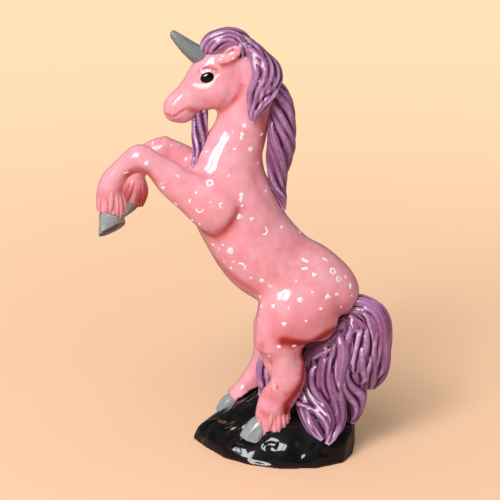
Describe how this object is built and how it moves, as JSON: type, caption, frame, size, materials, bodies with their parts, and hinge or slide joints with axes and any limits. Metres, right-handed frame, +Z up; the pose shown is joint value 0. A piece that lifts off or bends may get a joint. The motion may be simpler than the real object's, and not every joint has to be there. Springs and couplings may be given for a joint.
{
  "type": "rearing unicorn figurine",
  "caption": "Glazed ceramic unicorn rearing on a black rock base, pink with pale speckles, with a lilac mane, beard and tail and a smooth grey horn and hooves.",
  "frame": {"origin": "on the table, under the centre of the figure's outer box", "axes": "Z up, the unicorn faces -X and its left side faces -Y"},
  "size_m": [0.1355, 0.062, 0.2001],
  "materials": {
    "base_glaze": "high gloss",
    "body_glaze": "high gloss",
    "eye_glaze": "high gloss",
    "hoof_glaze": "high gloss",
    "hair_glaze": "high gloss"
  },
  "bodies": {
    "root": {"base_mound": "base_glaze", "torso": "body_glaze", "neck": "body_glaze", "head": "body_glaze", "left_ear": "body_glaze", "right_ear": "body_glaze", "left_forearm": "body_glaze", "left_front_cannon": "body_glaze", "right_forearm": "body_glaze", "right_front_cannon": "body_glaze", "left_thigh": "body_glaze", "left_shank": "body_glaze", "right_thigh": "body_glaze", "right_shank": "body_glaze", "left_eye": "eye_glaze", "right_eye": "eye_glaze", "horn": "hoof_glaze", "left_fore_hoof": "hoof_glaze", "right_fore_hoof": "hoof_glaze", "left_hind_hoof": "hoof_glaze", "right_hind_hoof": "hoof_glaze", "forelock": "hair_glaze", "mane_crest_lock": "hair_glaze", "mane_curl_lock": "hair_glaze", "mane_far_lock": "hair_glaze", "mane_long_lock": "hair_glaze", "beard": "hair_glaze", "tail_outer_lock": "hair_glaze", "tail_middle_lock": "hair_glaze", "tail_long_lock": "hair_glaze", "tail_inner_lock": "hair_glaze", "tail_far_lock": "hair_glaze", "tail_under_lock": "hair_glaze", "tail_sweep_lock": "hair_glaze"}
  },
  "joints": []
}
